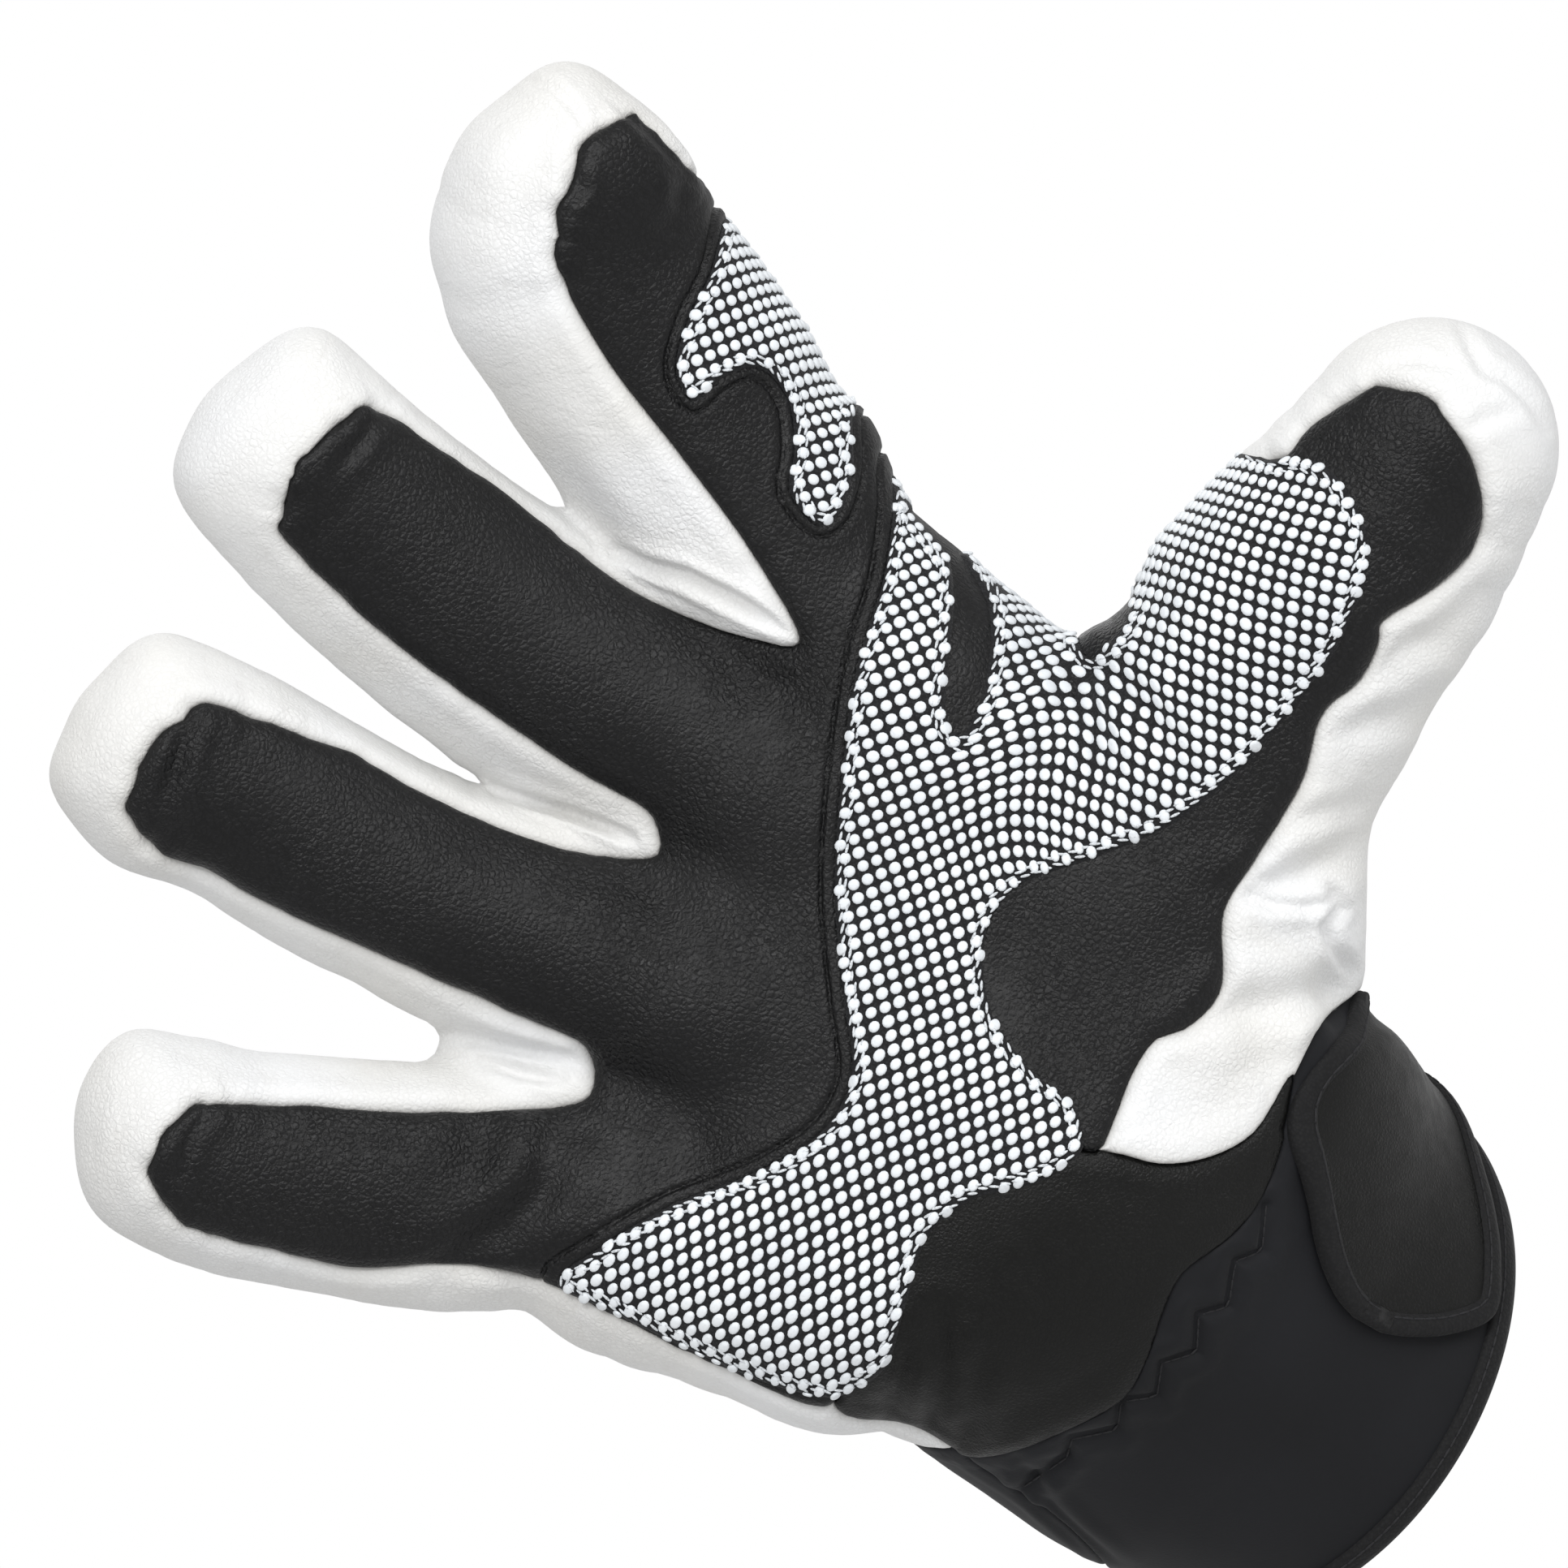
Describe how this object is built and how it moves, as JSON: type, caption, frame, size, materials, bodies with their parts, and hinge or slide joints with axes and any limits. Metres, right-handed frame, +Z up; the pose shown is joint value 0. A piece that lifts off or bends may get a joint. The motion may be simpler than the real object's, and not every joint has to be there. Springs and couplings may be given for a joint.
{
  "type": "ski racing glove",
  "caption": "Padded ski racing glove for the right hand: white leather back, black leather palm with a dotted grip layer, softshell cuff and hook and loop wrist strap.",
  "frame": {"origin": "centre of the wrist opening, in the plane of the cuff's hem", "axes": "+Z up with the fingers pointing up, palm facing -Y, thumb towards +X; the forearm leaves down and backwards along the axis of the mount wrist_entry"},
  "size_m": [0.2372, 0.1031, 0.2456],
  "materials": {
    "white_leather": "smooth grain, soft sheen",
    "black_leather": "fine grain, soft sheen",
    "grip_fabric": "black knit with rows of raised white silicone dots",
    "softshell": "matt stretch weave",
    "tape": "ribbed woven tape"
  },
  "bodies": {
    "root": {"back_shell": "white_leather", "index_back": "white_leather", "middle_back": "white_leather", "ring_back": "white_leather", "little_back": "white_leather", "thumb_back": "white_leather", "palm_panel": "black_leather", "index_front": "black_leather", "ring_front": "black_leather", "thumb_panel": "black_leather", "heel_panel": "black_leather", "grip_palm": "grip_fabric", "grip_index": "grip_fabric", "cuff_front": "softshell", "cuff_back": "softshell", "hem_binding": "tape", "wrist_strap": "black_leather", "strap_binding": "tape"}
  },
  "joints": []
}
